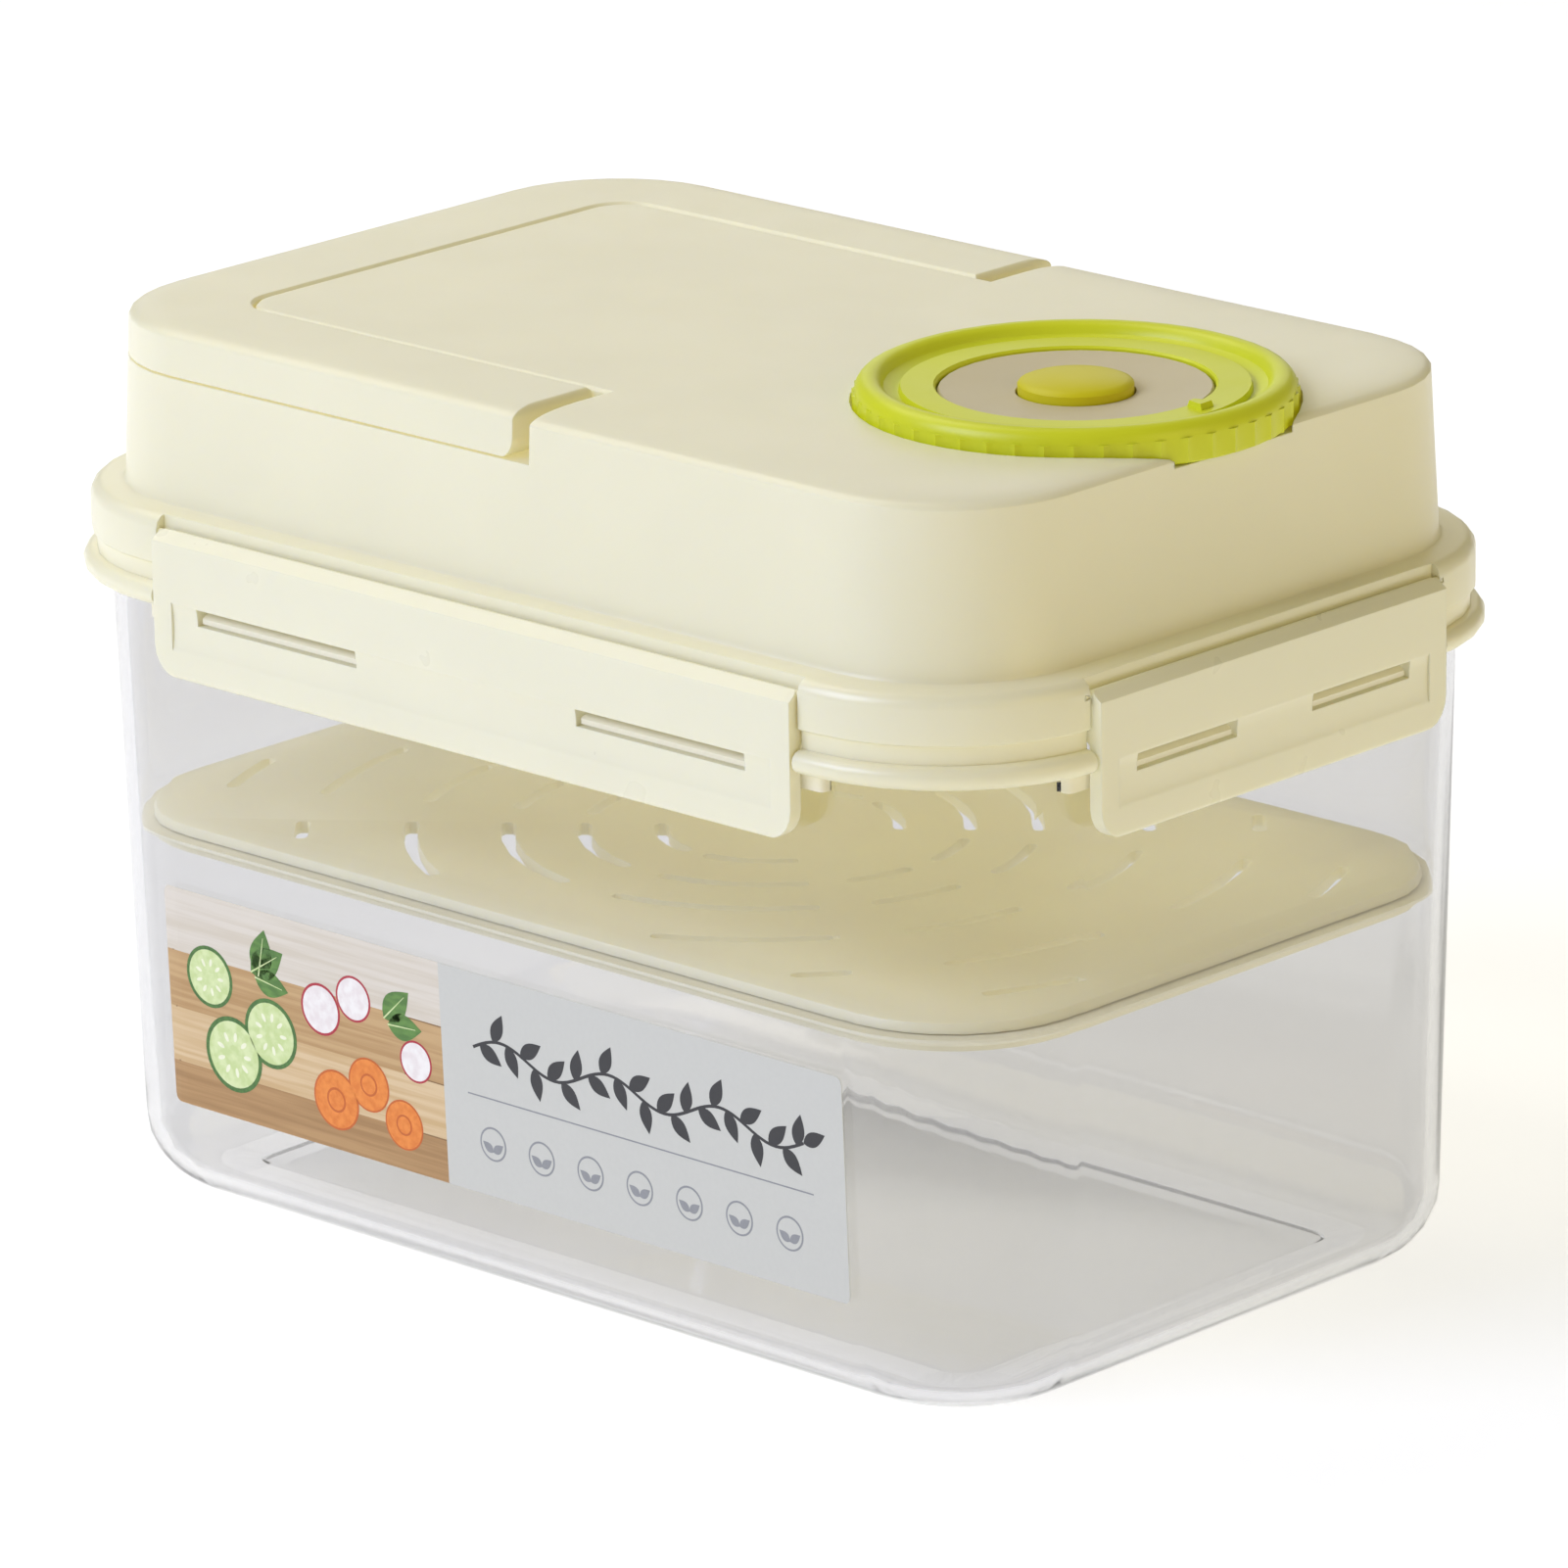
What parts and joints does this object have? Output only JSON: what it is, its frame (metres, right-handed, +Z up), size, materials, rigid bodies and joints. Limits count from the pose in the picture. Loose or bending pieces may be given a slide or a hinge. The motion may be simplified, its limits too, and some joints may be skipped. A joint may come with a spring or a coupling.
{
  "type": "pickle container",
  "caption": "Clear rectangular pickle container with a clip-on dome lid, folding carry handle, date dial with vent button, and a slotted press plate inside.",
  "frame": {"origin": "centre of the footprint, on the surface the container stands on", "axes": "+X along the long side towards the dial, -Y out of the front with the label, +Z up"},
  "size_m": [0.2482, 0.167, 0.1788],
  "materials": {
    "clear_plastic": "clear, glossy",
    "cream_plastic": "satin gloss",
    "gasket_silicone": "matte",
    "handle_cream_plastic": "satin gloss",
    "latch_cream_plastic": "satin gloss",
    "plate_cream_plastic": "satin",
    "ring_silicone": "matte",
    "dial_green_plastic": "satin gloss",
    "disc_grey_plastic": "satin",
    "button_lime_plastic": "satin gloss",
    "stem_white_plastic": "satin",
    "seal_silicone": "matte",
    "steel": "bright drawn wire"
  },
  "bodies": {
    "container": {"tank": "clear_plastic", "lid_shell": "cream_plastic", "lid_gasket": "gasket_silicone", "dial_disc": "disc_grey_plastic", "handle_pin_front": "steel", "handle_pin_back": "steel", "vent_spring": "steel"},
    "handle": {"handle": "handle_cream_plastic"},
    "latch_front": {"latch_front": "latch_cream_plastic"},
    "latch_back": {"latch_back": "latch_cream_plastic"},
    "latch_left": {"latch_left": "latch_cream_plastic"},
    "latch_right": {"latch_right": "latch_cream_plastic"},
    "dial": {"dial_ring": "dial_green_plastic"},
    "vent": {"vent_button": "button_lime_plastic", "vent_stem": "stem_white_plastic", "vent_seal": "seal_silicone"},
    "plate": {"press_plate": "plate_cream_plastic", "plate_ring": "ring_silicone"}
  },
  "joints": [
    {"name": "handle_swing", "type": "hinge", "parent": "container", "child": "handle", "pos_m": [0.0004, 0, 0.1692], "axis": [0, 1, 0], "range_deg": [0, 90]},
    {"name": "latch_front_swing", "type": "hinge", "parent": "container", "child": "latch_front", "pos_m": [0, -0.0806, 0.1372], "axis": [-1, 0, 0], "range_deg": [0, 115]},
    {"name": "latch_back_swing", "type": "hinge", "parent": "container", "child": "latch_back", "pos_m": [0, 0.0806, 0.1372], "axis": [1, 0, 0], "range_deg": [0, 115]},
    {"name": "latch_left_swing", "type": "hinge", "parent": "container", "child": "latch_left", "pos_m": [-0.1212, 0, 0.1372], "axis": [0, 1, 0], "range_deg": [0, 115]},
    {"name": "latch_right_swing", "type": "hinge", "parent": "container", "child": "latch_right", "pos_m": [0.1212, 0, 0.1372], "axis": [0, -1, 0], "range_deg": [0, 115]},
    {"name": "dial_spin", "type": "hinge", "parent": "container", "child": "dial", "pos_m": [0.076, 0, 0.1709], "axis": [0, 0, 1], "continuous": true},
    {"name": "vent_press", "type": "slide", "parent": "container", "child": "vent", "axis": [0, 0, -1], "range_m": [0, 0.002], "stiffness_N_per_m": 1200, "springref_m": -0.002, "deforming": ["vent_spring"]},
    {"name": "plate_slide", "type": "slide", "parent": "container", "child": "plate", "axis": [0, 0, 1], "range_m": [-0.055, 0.045], "deforming": ["plate_ring"]}
  ]
}
